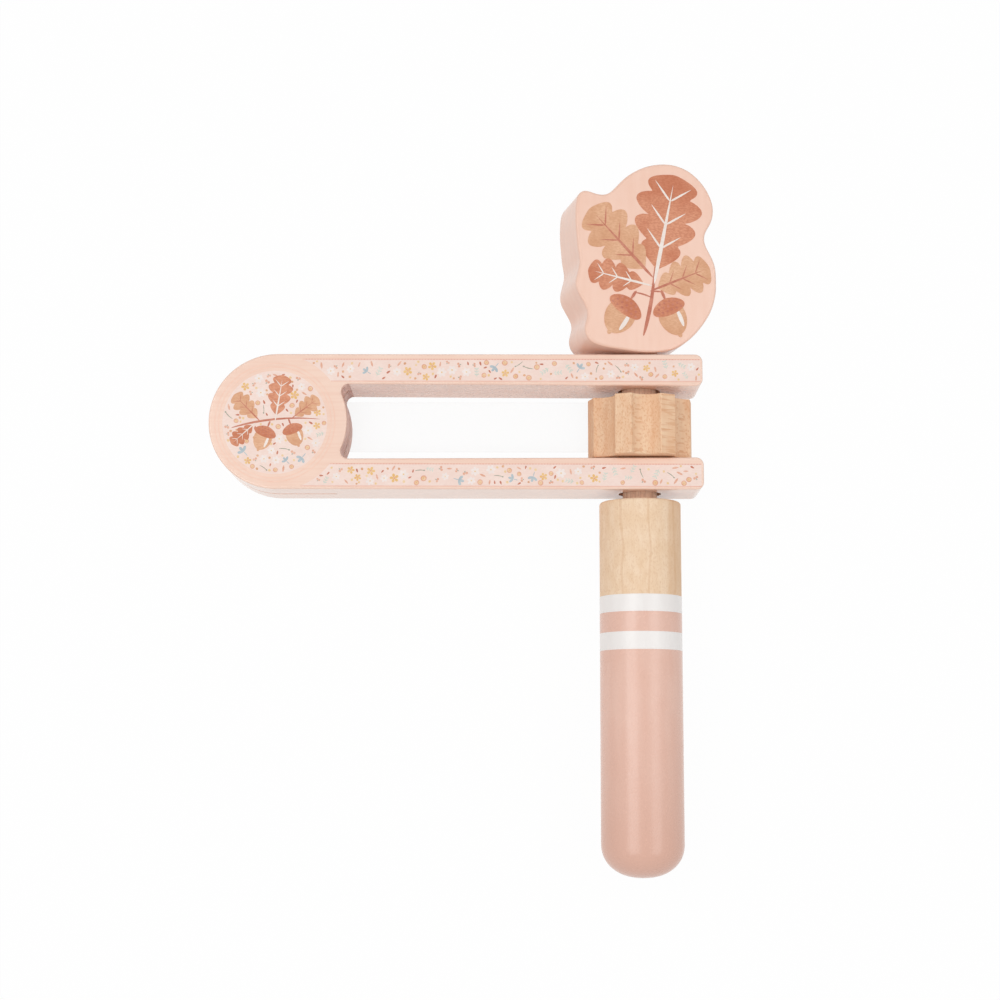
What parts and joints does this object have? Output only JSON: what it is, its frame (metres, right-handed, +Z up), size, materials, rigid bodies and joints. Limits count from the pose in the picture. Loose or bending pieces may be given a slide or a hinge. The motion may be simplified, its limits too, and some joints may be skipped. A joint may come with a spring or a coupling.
{
  "type": "ratchet noisemaker",
  "caption": "Wooden ratchet noisemaker: a forked frame with a springy tongue spins round a star gear on an axle between a turned handle and a flat contour-cut head block.",
  "frame": {"origin": "bottom centre of the toy's box as it lies on its back: on the table, under the middle", "axes": "+Y along the axle from the handle towards the head block, +X from the frame's closed end towards the axle, +Z up out of the frame's printed front"},
  "size_m": [0.149, 0.2094, 0.0305],
  "materials": {
    "peach_painted_wood": "satin peach paint on wood, with a fine printed flower pattern on the front",
    "clear_sheet": "clear plastic sheet, polished",
    "dowel_wood": "bare wood dowel",
    "gear_wood": "bare wood, cut across and sanded",
    "handle_wood_and_paint": "turned wood, bare at the top, then white and dusty pink satin paint",
    "printed_head_wood": "satin peach paint on wood, with a printed picture on the front"
  },
  "bodies": {
    "rotor": {"handle": "handle_wood_and_paint", "axle": "dowel_wood", "ratchet_gear": "gear_wood", "head_block": "printed_head_wood"},
    "spinner": {"frame": "peach_painted_wood", "tongue": "clear_sheet"}
  },
  "joints": [
    {"name": "frame_spin", "type": "hinge", "parent": "rotor", "child": "spinner", "pos_m": [0.05167, 0.02635, 0.01537], "axis": [0, 1, 0], "continuous": true, "deforming": ["tongue"]}
  ]
}
